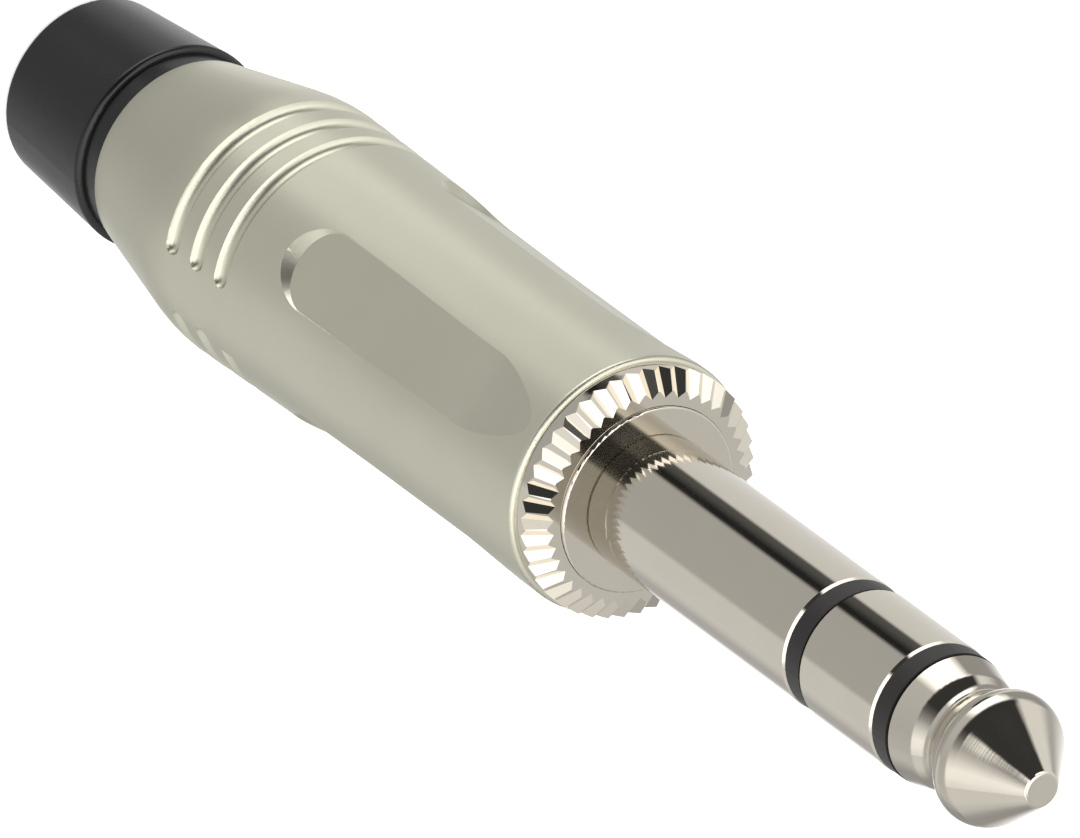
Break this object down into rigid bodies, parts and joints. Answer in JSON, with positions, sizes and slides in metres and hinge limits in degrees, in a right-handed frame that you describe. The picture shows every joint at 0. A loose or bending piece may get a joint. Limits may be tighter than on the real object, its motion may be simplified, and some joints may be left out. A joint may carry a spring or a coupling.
{
  "type": "jack plug connector",
  "caption": "Straight 6.35 mm jack plug with tip, ring and sleeve contacts, a grooved screw-on shell and a screw-in cable gland nut.",
  "frame": {"origin": "centre of the flat rear end of the gland nut, where the cable goes in", "axes": "+Z along the plug's axis towards the tip; -Y is the front, the middle of the shell's bare grip face; +X to the right"},
  "size_m": [0.0128, 0.0128, 0.0772],
  "materials": {
    "shell_metal": "satin nickel plate",
    "contact_metal": "bright nickel plate",
    "terminal_metal": "tinned brass",
    "gland_metal": "black satin coating",
    "insulator_plastic": "matt black",
    "clamp_plastic": "matt black",
    "liner_plastic": "matt, off-white"
  },
  "bodies": {
    "shell": {"shell": "shell_metal"},
    "liner": {"insulating_liner": "liner_plastic"},
    "plug": {"tip_contact": "contact_metal", "tip_insulator": "insulator_plastic", "inner_tube": "insulator_plastic", "ring_contact": "contact_metal", "ring_insulator": "insulator_plastic", "outer_tube": "insulator_plastic", "sleeve_contact": "contact_metal", "knurled_collar": "contact_metal", "ground_terminal": "terminal_metal", "body_washer": "insulator_plastic", "ring_terminal": "terminal_metal", "terminal_washer": "insulator_plastic", "tip_terminal": "terminal_metal"},
    "clamp": {"cable_clamp": "clamp_plastic"},
    "nut": {"gland_nut": "gland_metal"}
  },
  "joints": [
    {"name": "plug_travel", "type": "slide", "parent": "shell", "child": "liner", "axis": [0, 0, 1], "range_m": [0, 0.00525]},
    {"name": "plug_turn", "type": "hinge", "parent": "liner", "child": "plug", "pos_m": [0, 0, 0.0415], "axis": [0, 0, 1], "range_deg": [0, 2520]},
    {"name": "nut_travel", "type": "slide", "parent": "shell", "child": "clamp", "axis": [0, 0, -1], "range_m": [0, 0.0045]},
    {"name": "nut_turn", "type": "hinge", "parent": "clamp", "child": "nut", "pos_m": [0, 0, 0.011], "axis": [0, 0, -1], "range_deg": [0, 2160]}
  ],
  "couplings": [
    {"joint": "plug_turn", "follows": "plug_travel", "rad_per_m": 8377.6},
    {"joint": "nut_turn", "follows": "nut_travel", "rad_per_m": 8377.6}
  ]
}
